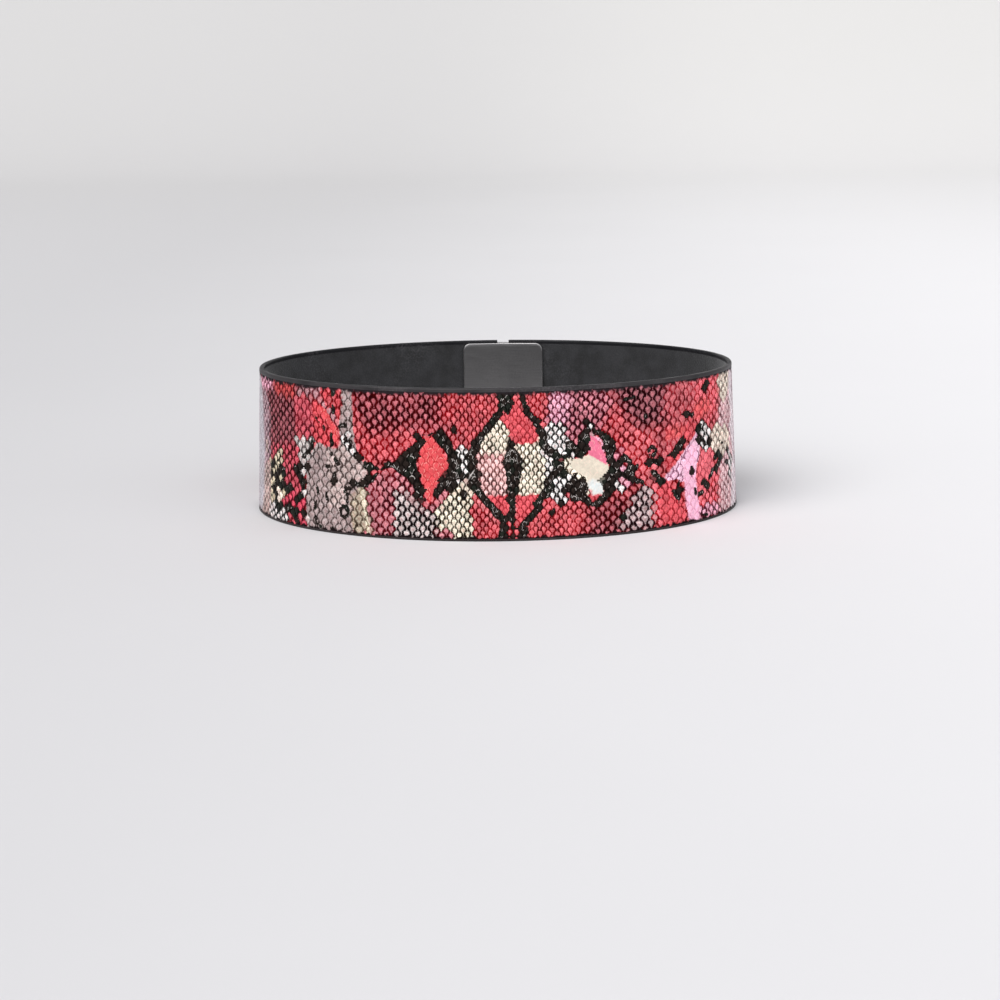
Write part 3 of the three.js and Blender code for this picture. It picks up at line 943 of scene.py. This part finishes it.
def makePrintStrip(settings):
    # A grid along the band and up it. Each point's depth is the relief times how near it lies to its
    # scale's border, so the net is pressed in. The profile closes round the inner face.
    along = np.linspace(-bandLength / 2, bandLength / 2, settings["stations"])
    up = np.linspace(settings["low"], settings["high"], settings["rows"])
    s, z = np.meshgrid(along, up, indexing="ij")
    across, rows = gridFromPlace(s, z)
    _, _, da, db = nearestScale(across, rows, settings["curl"])
    border = 1 - 2 * np.maximum(np.abs(da), np.abs(db))
    smoothInks = [inkField(wrapRepeat(s), z, inkOutlines[name]) for name in printInks
                  if printInks[name]["grow"] > 0.15]
    smooth = smoothStep(-0.5, 1.0, np.max(smoothInks, axis=0))
    flatness = np.concatenate([smooth, np.zeros((len(along), 3))], axis=1)
    depth = settings["relief"] * (1 - smoothStep(0.0, 0.55, border)) * (1 - 0.75 * smooth)
    out = np.concatenate([-depth, np.full((len(along), 3), -belt["printThickness"])], axis=1)
    inwards = np.array([settings["high"], (settings["high"] + settings["low"]) / 2, settings["low"]])
    z = np.concatenate([z, np.tile(inwards, (len(along), 1))], axis=1)
    s = np.tile(along[:, None], (1, z.shape[1]))
    points, faces = carriedRing(out, s, z)
    piece = addPiece("snakePrintStrip", points, faces, math.radians(50))
    mesh = piece.data

    around = z.shape[1]
    flatS, flatZ = s.ravel(), z.ravel()
    across, rows = gridFromPlace(flatS, flatZ)
    corner = np.zeros(len(mesh.loops), np.int32)
    mesh.loops.foreach_get("vertex_index", corner)
    for name, u, v in (("scaleGrid", across, rows), ("bandPlace", flatS / 1000, flatZ / 1000)):
        layer = mesh.uv_layers.new(name=name)
        layer.data.foreach_set("uv", np.stack([u[corner], v[corner]], axis=-1).astype(np.float32).ravel())

    # the scale that each face of the print lies on, and that scale's own place
    loopStart = np.zeros(len(mesh.polygons), np.int32)
    mesh.polygons.foreach_get("loop_start", loopStart)
    first, third = corner[loopStart], corner[loopStart + 2]
    a, b, _, _ = nearestScale((across[first] + across[third]) / 2, (rows[first] + rows[third]) / 2,
                              settings["curl"])
    scaleAlong, scaleUp = placeFromGrid(a + b, (a - b) / 2)
    jitter = scatter(a, b, 1) - 0.5
    face = np.arange(len(mesh.polygons))
    onPrint = (face % around < settings["rows"] - 1) & (face < len(mesh.polygons) - 2)

    for name, ink in printInks.items():
        if ink["ragged"] is None:
            field = inkField(scaleAlong, scaleUp, inkOutlines[name]) + jitter
            saveField(mesh, name, "FACE", np.where(onPrint, field, farOutside))
        else:
            saveField(mesh, name, "POINT", inkField(wrapRepeat(flatS), flatZ, inkOutlines[name]))
    # scales inside the black motif are black as a whole, which makes its edge follow the scales
    fields = {
        "outline": inkField(scaleAlong, scaleUp, blackOutlines, (), openScales),
        "stroke": inkField(scaleAlong, scaleUp, (), blackStrokes, openScales),
        "mark": inkField(scaleAlong, scaleUp, (), taupeMarks),
    }
    speckled = np.max([field - settings["blackFrom"][kind] + settings["blackJitter"][kind] * jitter
                       for kind, field in fields.items()], axis=0)
    for share, outline in blackSpeckles:
        chosen = scatter(a, b, 2) < share
        inside = insideOutline(scaleAlong, scaleUp, outline)
        speckled = np.maximum(speckled, np.where(chosen, inside, farOutside))
    saveField(mesh, "blackScale", "FACE", np.where(onPrint, speckled, farOutside))
    black = inkField(wrapRepeat(flatS), flatZ, blackOutlines, blackStrokes, openScales)
    marks = inkField(wrapRepeat(flatS), flatZ, (), taupeMarks) + settings["markSpread"]
    saveField(mesh, "blackMotif", "POINT", np.maximum(black, marks))
    saveField(mesh, "flatInk", "POINT", flatness.ravel())
    saveField(mesh, "lightLines", "POINT", inkField(wrapRepeat(flatS), flatZ, (), lightLines))
    return piece


def makePrintMaterial(settings):
    material, wire, surface, place = newMaterial("printLeather", {
        "IOR": 1.45, "Specular IOR Level": 0.03, "Coat Roughness": 0.2, "Coat IOR": 1.3})
    grid = wire.node("ShaderNodeUVMap", uv_map="scaleGrid").outputs[0]
    band = wire.node("ShaderNodeUVMap", uv_map="bandPlace").outputs[0]
    scales = wire.group(scaleGroup, {"Grid": grid, "Curl": settings["curl"]})
    inside, border, which = (scales[n] for n in ("Inside", "Border", "Scale"))

    waves = settings["waves"]
    coarse = wire.minus(wire.noise(place, waves["coarse"]), 0.5)
    fine = wire.minus(wire.noise(place, waves["fine"]), 0.5)
    ragged = wire.add(wire.times(coarse, settings["ragged"][0]), wire.times(fine, settings["ragged"][1]))

    scaleColour, gapColour, grow = linear(redInk["scale"]), linear(redInk["gap"]), redInk["grow"]
    for name, ink in printInks.items():
        layer = wire.group(inkGroup, {
            "Field": wire.attribute(name),
            "Ragged": wire.times(ragged, ink["ragged"]) if ink["ragged"] else 0.0,
            "Soft": ink["soft"],
            "Scale Under": scaleColour, "Gap Under": gapColour, "Grow Under": grow,
            "Scale Ink": linear(ink["scale"]), "Gap Ink": linear(ink["gap"]), "Grow": ink["grow"],
        }, name)
        scaleColour, gapColour, grow = (layer[n] for n in ("Scale", "Gap", "Grow"))

    # the net: a scale fades into its gap. Here and there the net is broader and darker, and its middle
    # line is the darkest
    random = wire.node("ShaderNodeTexWhiteNoise", {"Vector": which}, noise_dimensions="3D").outputs
    drift = wire.minus(wire.noise(place, waves["drift"]), 0.5)
    size = wire.minus(wire.node("ShaderNodeSeparateColor", {0: random[1]}).outputs[1], 0.5)
    singly, byDrift, byFine = settings["uneven"]
    size = wire.add(wire.times(size, singly), wire.times(drift, byDrift))
    wobble = wire.add(wire.times(fine, byFine), size)
    spread = wire.add(wire.add(inside, grow), wobble)
    netted = wire.step(grow, 0.06, 0.12, 1.0, 0.0)
    deep = wire.step(spread, *settings["deepGap"], 0.5, 1.0)
    deep = wire.times(deep, wire.step(drift, -0.12, 0.14, 0.50, 1.35))
    gapColour = wire.mix(netted, gapColour, wire.mix(1.0, gapColour, wire.grey(deep), "MULTIPLY"))
    onScale = wire.step(spread, *settings["onScale"])

    # each scale is a little lighter or darker than its neighbours, mottled, and deeper at its middle
    mottle = wire.step(wire.noise(place, waves["mottle"], 2.0, 0.6), 0.36, 0.64, *settings["mottle"])
    tone = wire.minus(wire.times(wire.step(random[0], 0.0, 1.0, *settings["tone"]), mottle), 1.0)
    tone = wire.add(wire.times(tone, wire.step(grow, 0.06, 0.30, 1.0, 0.25)), 1.0)
    core = wire.step(wire.add(spread, wire.add(coarse, fine)), 0.12, 0.46, 0.0, settings["core"])
    core = wire.minus(1.10, wire.times(core, netted))
    warmer = wire.times(tone, wire.math("SQRT", core))
    cooler = wire.times(tone, core)
    toneColour = wire.node("ShaderNodeCombineColor", {0: warmer, 1: cooler, 2: cooler}).outputs[0]
    scaleColour = wire.mix(1.0, scaleColour, toneColour, "MULTIPLY")
    colour = wire.mix(onScale, gapColour, scaleColour)

    # on the flat inks the net is only a broken paler line
    paler = wire.step(wire.math("ABSOLUTE", wire.minus(inside, 0.02)), 0.03, 0.14, 0.28, 0.0)
    paler = wire.times(paler, wire.step(wire.noise(place, waves["paler"]), 0.46, 0.62))
    paler = wire.times(paler, wire.step(grow, 0.14, 0.20))
    colour = wire.mix(paler, colour, linear(settings["brokenLine"]))

    # the black motif: a ragged core and whole scales, with thin broken light lines along the net, partly
    # the print's pale gaps and partly painted glints, highlights on the scale edges
    motif = wire.attribute("blackMotif")
    byScale = wire.step(wire.attribute("blackScale"), -0.05, 0.05)
    blackEdge = wire.add(motif, wire.times(ragged, 0.9))
    black = wire.math("MAXIMUM", wire.step(blackEdge, 0.1, 0.5), byScale)
    line = wire.math("ABSOLUTE", wire.add(inside, wire.times(fine, 0.16)))
    line = wire.step(line, *settings["lineWidth"], 1.0, 0.0)
    glint = wire.times(line, wire.step(wire.noise(place, waves["glint"], 1.0), 0.54, 0.60))
    glint = wire.times(glint, wire.step(motif, 0.5, 1.5))
    glint = wire.math("MAXIMUM", glint, wire.step(wire.attribute("lightLines"), -0.15, 0.15))
    tint = wire.node("ShaderNodeValToRGB", {0: random[0]}).outputs[0]
    ramp = tint.node.color_ramp
    ramp.interpolation = "CONSTANT"
    for index, shade in enumerate(blackInk["tints"]):
        stop = ramp.elements[index] if index < 2 else ramp.elements.new(0.0)
        stop.position = index / len(blackInk["tints"])
        stop.color = linear(shade)
    dull = wire.times(wire.step(spread, -0.15, 0.15, 0.25, 1.0), mottle)
    tint = wire.mix(1.0, tint, wire.grey(dull), "MULTIPLY")
    blackColour = wire.mix(wire.times(glint, 0.9), tint, linear(blackInk["glint"]))
    colour = wire.mix(black, colour, blackColour)

    # an uneven dark band below the top edge, partly the print's darker rim and partly painted shade under
    # the bead, and a narrow dark band at the foot
    height = wire.node("ShaderNodeSeparateXYZ", {0: band}).outputs[1]
    margin = wire.add(wire.times(height, 1000.0), wire.times(coarse, settings["marginWaver"]))
    for edge in ("topMargin", "foot"):
        colour = wire.mix(wire.step(margin, *settings[edge]), colour, linear(settings[edge + "Colour"]))
    wire.put(colour, surface["Base Color"])

    grain = wire.group(grainGroup, {"Vector": place, "Size": 1.0})
    rub = wire.group(wearGroup, {"Vector": place, "Amount": settings["rubbed"]})
    rough = wire.step(onScale, 0.0, 1.0, *settings["rough"])
    wire.put(wire.add(rough, wire.times(rub["Mask"], 0.25)), surface["Roughness"])
    wire.put(wire.times(onScale, settings["coat"]), surface["Coat Weight"])
    flatInk = wire.step(wire.attribute("flatInk"), 0.0, 1.0, 1.0, 0.3)
    dome = wire.times(wire.step(wire.math("MINIMUM", inside, border), -0.1, 0.4), flatInk)
    relief = wire.add(dome, wire.times(grain["Height"], 0.10))
    wire.put(wire.bump(relief, 0.7, settings["bumpDepth"]), surface["Normal"])
    return material


printPiece = makePrintStrip(printStrip)
printPiece.data.materials.append(makePrintMaterial(printStrip))
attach(printPiece, "root")
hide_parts("print_strip")
print("belt: print strip made")

# backing
backingStrip = {
    "stations": 480,
    "rows": 24,
    "low": layersLow,
    "high": layersHigh,
    "lift": 0.2,      # mm that its outer face is brought nearer to the print
    "pull": 0.06,     # mm that the glue draws its face in
    "pullWaves": (7.3, 11.0),
    "colours": ((24, 24, 26), (40, 40, 43)),
    "rubbedColour": (74, 73, 76),
}


def makeBackingStrip(settings):
    # A thin closed slab along the band. Its inner face is drawn in by a slow sine, as glued cloth is.
    along = np.linspace(-bandLength / 2, bandLength / 2, settings["stations"])
    up = np.linspace(settings["low"], settings["high"], settings["rows"])
    outer = -belt["printThickness"] - belt["layerGap"] + settings["lift"]
    inner = -bandThickness
    s, z = np.meshgrid(along, up, indexing="ij")
    waveAlong, waveUp = settings["pullWaves"]
    ripple = 0.5 + 0.5 * np.sin(s / waveAlong + 2.0 * np.sin(z / waveUp))
    ripple = settings["pull"] * ripple * np.sin(np.pi * z / belt["height"])
    out = np.concatenate([np.full((len(along), 2), outer), (inner + ripple)[:, ::-1]], axis=1)
    ends = np.tile([settings["low"], settings["high"]], (len(along), 1))
    upAll = np.concatenate([ends, z[:, ::-1]], axis=1)
    points, faces = carriedRing(out, np.tile(along[:, None], (1, upAll.shape[1])), upAll)
    return addPiece("backingLining", points, faces)


def makeBackingMaterial(settings):
    material, wire, surface, place = newMaterial("backingCloth", {
        "IOR": 1.45, "Sheen Weight": 0.25, "Sheen Roughness": 0.5})
    grain = wire.group(grainGroup, {"Vector": place, "Size": 0.8})
    rub = wire.group(wearGroup, {"Vector": place, "Amount": 0.6})
    dark, light = (linear(shade) for shade in settings["colours"])
    colour = wire.mix(wire.step(grain["Tone"], 0.3, 0.7), dark, light)
    colour = wire.mix(rub["Mask"], colour, linear(settings["rubbedColour"]))
    wire.put(colour, surface["Base Color"])
    wire.put(wire.step(grain["Height"], 0.0, 1.0, 0.82, 0.62), surface["Roughness"])
    wire.put(wire.bump(grain["Height"], 0.6, 0.00015), surface["Normal"])
    return material


backingPiece = makeBackingStrip(backingStrip)
backingPiece.data.materials.append(makeBackingMaterial(backingStrip))
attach(backingPiece, "root")
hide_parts("backing_strip")
print("belt: backing made")

# painted edges
topEdge = {
    "stations": 960,
    "around": 14,
    "low": layersHigh,
    "high": belt["height"],
    "round": 0.8,
    "waver": 0.05,
}
bottomEdge = {
    "stations": 960,
    "around": 10,
    "low": 0.0,
    "high": layersLow,
    "round": 0.35,
    "waver": 0.04,
}
edgePaint = {
    # both edges
    "waverWaves": (2.7, 11.0, 19.0),
    "colours": ((40, 38, 40), (56, 53, 55)),
    "innerColour": (22, 22, 25),
    "lowColour": (44, 38, 38),
    "rubbedColour": (88, 84, 88),
}


def edgeProfile(settings, roundTop):
    # A slab's section with two round corners, as quarter circles. It is listed anticlockwise, with out to
    # the right.
    outer = belt["edgeProud"]
    inner = -bandThickness - belt["edgeProud"]
    r = settings["round"]
    quarter = np.linspace(0, np.pi / 2, settings["around"] // 2)
    if roundTop:
        out = [outer - r + r * np.cos(quarter), inner + r - r * np.sin(quarter)]
        up = [settings["high"] - r + r * np.sin(quarter), settings["high"] - r + r * np.cos(quarter)]
        square = ((inner, settings["low"]), (outer, settings["low"]))
    else:
        out = [inner + r - r * np.cos(quarter), outer - r + r * np.sin(quarter)]
        up = [settings["low"] + r - r * np.sin(quarter), settings["low"] + r - r * np.cos(quarter)]
        square = ((outer, settings["high"]), (inner, settings["high"]))
    out = np.concatenate(out + [[square[0][0], square[1][0]]])
    up = np.concatenate(up + [[square[0][1], square[1][1]]])
    return out, up


def makeEdge(name, settings, roundTop):
    # The section is carried along the band, and its outer and inner faces waver as brushed paint does.
    out, up = edgeProfile(settings, roundTop)
    along = np.linspace(-bandLength / 2, bandLength / 2, settings["stations"])
    s = np.tile(along[:, None], (1, len(out)))
    short, middling, long = edgePaint["waverWaves"]
    waver = np.sin(s / short + 1.3 * np.sin(s / middling)) * np.sin(s / long)
    waver = settings["waver"] * (waver - 1) * 0.5
    middle = (out.max() + out.min()) / 2
    out = out[None, :] + waver * np.sign(out - middle)[None, :]
    points, faces = carriedRing(out, s, np.tile(up[None, :], (len(along), 1)))
    piece = addPiece(name, points, faces, math.radians(50))
    corner = np.zeros(len(piece.data.loops), np.int32)
    piece.data.loops.foreach_get("vertex_index", corner)
    layer = piece.data.uv_layers.new(name="edgePlace")   # out from the print's face and up, both in mm
    flatUp = np.tile(up[None, :], (len(along), 1)).ravel()
    edgePlace = np.stack([out.ravel()[corner], flatUp[corner]], axis=-1)
    layer.data.foreach_set("uv", edgePlace.astype(np.float32).ravel())
    return piece


def makeEdgeMaterial(finish):
    material, wire, surface, place = newMaterial("edgePaint", {"IOR": 1.45, "Specular IOR Level": 0.25})
    edgePlace = wire.node("ShaderNodeUVMap", uv_map="edgePlace").outputs[0]
    section = wire.node("ShaderNodeSeparateXYZ", {0: edgePlace}).outputs
    grain = wire.group(grainGroup, {"Vector": place, "Size": 0.5})
    rub = wire.group(wearGroup, {"Vector": place, "Amount": 0.5})
    dark, light = (linear(shade) for shade in finish["colours"])
    colour = wire.mix(wire.step(grain["Tone"], 0.3, 0.7), dark, light)
    colour = wire.mix(wire.step(section[0], -0.35, -0.75), colour, linear(finish["innerColour"]))
    colour = wire.mix(wire.step(section[1], 1.6, 1.1), colour, linear(finish["lowColour"]))
    colour = wire.mix(rub["Mask"], colour, linear(finish["rubbedColour"]))
    wire.put(colour, surface["Base Color"])
    wire.put(wire.step(grain["Tone"], 0.3, 0.7, 0.36, 0.52), surface["Roughness"])
    wire.put(wire.bump(grain["Tone"], 0.5, 0.0002), surface["Normal"])
    return material


edgeMaterial = makeEdgeMaterial(edgePaint)
for name, node, settings, roundTop in (("topEdgeBead", "top_edge", topEdge, True),
                                       ("bottomEdgeBead", "bottom_edge", bottomEdge, False)):
    edgePiece = makeEdge(name, settings, roundTop)
    edgePiece.data.materials.append(edgeMaterial)
    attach(edgePiece, "root")
    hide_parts(node)
print("belt: edges made")

# clasp
clasp = {
    "width": 46.0,
    "plate": 1.2,
    "inset": 1.5,
    "corner": 4.0,     # rounded corners of the two plates
    "edge": 0.35,      # and their softened edges
    "edgeSteps": 3,
    "stations": 64,
    "rows": 40,
    "colours": ((176, 174, 175), (186, 184, 184)),
    "rubbedColour": (132, 129, 128),
}


def platePlan(settings):
    # A grid over a rectangle whose corners are rounded: near each end the height shrinks along a circle.
    half = settings["width"] / 2
    t = np.linspace(-1, 1, settings["stations"])
    along = half * np.sin(t * np.pi / 2)
    r = settings["corner"]
    past = np.clip(np.abs(along) - (half - r), 0, r)
    shrink = r - np.sqrt(np.maximum(r * r - past * past, 0))
    tall = belt["height"] / 2 - settings["inset"] - shrink
    return along, tall


def makePlate(name, outerFace, innerFace, settings):
    # Sections along the plate: a flat slab with softened edges, as high as the plan is there.
    along, tall = platePlan(settings)
    e = settings["edge"]
    tall = np.maximum(tall, 0.5)
    quarter = np.linspace(0, np.pi / 2, settings["edgeSteps"] + 1)
    ups = np.linspace(-1, 1, settings["rows"])
    outer = np.full(settings["rows"], outerFace)
    inner = np.full(settings["rows"], innerFace)
    cosine, sine = e * np.cos(quarter), e * np.sin(quarter)
    rim = np.concatenate([outer, outerFace - e + cosine[1:], innerFace + e - sine[:-1],
                          inner, innerFace + e - cosine[1:], outerFace - e + sine[:-1]])
    end = np.ones(2 * settings["edgeSteps"])
    reach = np.concatenate([ups, end, ups[::-1], -end])
    drop = np.concatenate([0 * ups, sine[1:], cosine[:-1], 0 * ups, -sine[1:], -cosine[:-1]])
    up = belt["height"] / 2 + (tall[:, None] - e) * reach[None, :] + drop[None, :]
    ends = np.minimum(1.0, (settings["width"] / 2 - np.abs(along)) / e)
    thin = e * (1 - np.sqrt(np.maximum(0, 1 - (1 - ends) ** 2)))
    middle = (outerFace + innerFace) / 2
    out = rim[None, :] - thin[:, None] * np.sign(rim - middle)[None, :]
    s = girth / 2 + np.tile(along[:, None], (1, out.shape[1]))
    points, faces = carriedRing(out, s, up)
    return addPiece(name, points, faces, math.radians(35))


def makeClaspMaterial(settings):
    material, wire, surface, place = newMaterial("brushedNickel", {"Metallic": 1.0, "Anisotropic": 0.4})
    stretched = wire.node("ShaderNodeMapping", {"Vector": place, "Scale": (0.02, 0.02, 1.0)}).outputs[0]
    brush = wire.noise(stretched, 3600.0)
    rub = wire.group(wearGroup, {"Vector": place, "Amount": 0.3})
    dark, light = (linear(shade) for shade in settings["colours"])
    colour = wire.mix(wire.step(brush, 0.3, 0.7), dark, light)
    colour = wire.mix(rub["Mask"], colour, linear(settings["rubbedColour"]))
    wire.put(colour, surface["Base Color"])
    rough = wire.step(brush, 0.3, 0.7, 0.34, 0.40)
    wire.put(wire.add(rough, wire.times(rub["Mask"], 0.2)), surface["Roughness"])
    wire.put(wire.bump(brush, 0.1, 0.00001), surface["Normal"])
    return material


slotOuter = belt["edgeProud"] + belt["layerGap"]
slotInner = -bandThickness - belt["edgeProud"] - belt["layerGap"]
claspMaterial = makeClaspMaterial(clasp)
frontPlate = makePlate("claspFrontPlate", slotOuter + clasp["plate"], slotOuter, clasp)
backPlate = makePlate("claspBackPlate", slotInner, slotInner - clasp["plate"], clasp)
webPlan = dict(clasp, width=belt["claspWeb"], corner=0.5, edge=0.2, stations=12)
claspWeb = makePlate("claspWeb", belt["edgeProud"], -bandThickness - belt["edgeProud"], webPlan)
for claspPiece, node in ((frontPlate, "clasp_front_plate"), (backPlate, "clasp_back_plate"),
                         (claspWeb, "clasp_web")):
    claspPiece.data.materials.append(claspMaterial)
    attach(claspPiece, "root")
    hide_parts(node)
print("belt: clasp made")

# floor and backdrop
studio = {
    # metres
    "halfWidth": 6.0,
    "front": -4.0,
    "bend": 3.2,
    "radius": 1.6,
    "top": 4.5,
    # colours at the left and at the right, with painted light and shade: darker at the left, and darker on
    # the wall than on the floor
    "floor": ((201, 200, 202), (235, 234, 236)),
    "wall": ((187, 186, 186), (197, 196, 195)),
    "leftToRight": (-0.5, 0.6),
    "nearToFar": (0.0, 5.2),
    "airColour": (0.90, 0.92, 0.96, 1.0),
    "airLight": 0.36,
}


def makeSweep(settings):
    # A level floor that turns up along a quarter circle into a wall behind.
    floor = np.linspace(settings["front"], settings["bend"], 12)
    turn = np.linspace(0, np.pi / 2, 24)[1:]
    y = np.concatenate([floor, settings["bend"] + settings["radius"] * np.sin(turn),
                        [settings["bend"] + settings["radius"]]])
    z = np.concatenate([0 * floor, settings["radius"] * (1 - np.cos(turn)), [settings["top"]]])
    x = np.array([-settings["halfWidth"], settings["halfWidth"]])
    points = np.stack([np.tile(x[:, None], (1, len(y))), np.tile(y, (2, 1)), np.tile(z, (2, 1))], axis=-1)
    j = np.arange(len(y) - 1)
    faces = np.stack([j, j + len(y), j + len(y) + 1, j + 1], axis=-1).tolist()
    return addPiece("studioSweep", points.reshape(-1, 3), faces, math.radians(60))


sweep = makeSweep(studio)
sweepMaterial, wire, surface, place = newMaterial("paleSweep", {"Roughness": 0.9})
# the paper's colour carries painted light and shade, darker to the left and from the floor up to the wall
spot = wire.node("ShaderNodeSeparateXYZ", {0: place}).outputs
across = wire.add(spot[0], wire.times(wire.noise(place, 3.0, 3.0), 0.1))
side = wire.step(across, *studio["leftToRight"])
near, far = (wire.mix(side, *(linear(shade) for shade in studio[part])) for part in ("floor", "wall"))
depth = wire.add(spot[1], wire.times(spot[2], 2.0))
paperWithPaintedLight = wire.mix(wire.step(depth, *studio["nearToFar"]), near, far)
wire.put(paperWithPaintedLight, surface["Base Color"])
sweep.data.materials.append(sweepMaterial)

# light
lights = (
    # name, azimuth from the front of the camera, elevation, spread, strength, colour
    ("keyLight", -32, 46, 50, 2.68, (1.0, 0.99, 0.98)),
    ("fillLight", 48, 30, 70, 1.13, (0.98, 0.99, 1.0)),
)
for name, azimuth, elevation, spread, strength, tintOfLight in lights:
    data = bpy.data.lights.new(name, "SUN")
    data.angle = math.radians(spread)
    data.energy = strength
    data.color = tintOfLight
    lamp = bpy.data.objects.new(name, data)
    lamp.rotation_euler = (math.radians(90 - elevation), 0, math.radians(azimuth))
    scene.collection.objects.link(lamp)
world = bpy.data.worlds.new("paleRoom")
world.use_nodes = True
air = world.node_tree.nodes["Background"].inputs
air["Color"].default_value = studio["airColour"]
air["Strength"].default_value = studio["airLight"]
scene.world = world
print("belt: studio made")
